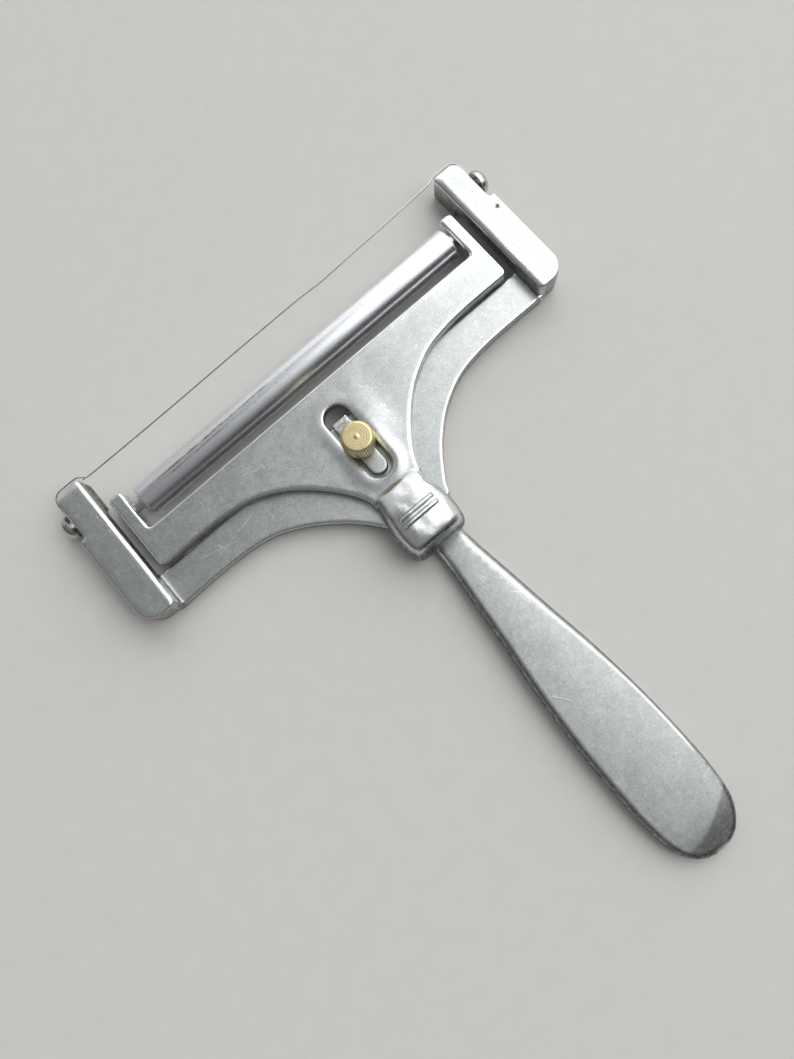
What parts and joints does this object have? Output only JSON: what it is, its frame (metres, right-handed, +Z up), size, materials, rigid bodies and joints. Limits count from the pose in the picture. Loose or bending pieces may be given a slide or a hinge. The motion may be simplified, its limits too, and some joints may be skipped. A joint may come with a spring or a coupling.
{
  "type": "cheese wire cutter",
  "caption": "Hand-held cheese slicer: cast frame with a taut cutting wire, a sliding roller carrier clamped by a brass thumb screw, and a flat paddle handle.",
  "frame": {"origin": "bottom centre of the tool's bounding box, on the surface it rests on", "axes": "+Y from the handle towards the cutting wire, +X towards the right arm with the thumb screw up, +Z up out of the resting surface"},
  "size_m": [0.1416, 0.1686, 0.0143],
  "materials": {
    "cast_aluminium": "tumbled satin casting with polished edges, fine pits and scratches",
    "cast_aluminium_plate": "satin plate, brighter and smeared on the thumb saddle",
    "polished_roller": "bright turned and polished, light handling marks",
    "steel": "plain bright steel, slightly dulled",
    "brass": "turned and knurled brass, dulled by age",
    "wire_steel": "drawn steel wire"
  },
  "bodies": {
    "frame": {"frame_casting": "cast_aluminium", "cutting_wire": "wire_steel"},
    "carrier": {"carrier_casting": "cast_aluminium_plate", "roller_axle": "steel"},
    "roller": {"roller_tube": "polished_roller", "roller_plug_left": "steel", "roller_plug_right": "steel"},
    "thumb_screw": {"thumb_screw": "brass"},
    "wire_screw_left": {"wire_screw_left": "steel"},
    "wire_screw_right": {"wire_screw_right": "steel"}
  },
  "joints": [
    {"name": "carrier_slide", "type": "slide", "parent": "frame", "child": "carrier", "axis": [0, -1, 0], "range_m": [-0.001, 0.0026]},
    {"name": "roller_spin", "type": "hinge", "parent": "carrier", "child": "roller", "pos_m": [0, 0.069, 0.0048], "axis": [1, 0, 0], "continuous": true},
    {"name": "thumb_screw_turn", "type": "hinge", "parent": "frame", "child": "thumb_screw", "pos_m": [0, 0.0432, 0], "axis": [0, 0, 1], "range_deg": [0, 540]},
    {"name": "wire_screw_left_turn", "type": "hinge", "parent": "frame", "child": "wire_screw_left", "pos_m": [-0.068, 0.0759, 0.0049], "axis": [-1, 0, 0], "range_deg": [0, 720]},
    {"name": "wire_screw_right_turn", "type": "hinge", "parent": "frame", "child": "wire_screw_right", "pos_m": [0.068, 0.0764, 0.0049], "axis": [1, 0, 0], "range_deg": [0, 720]}
  ]
}
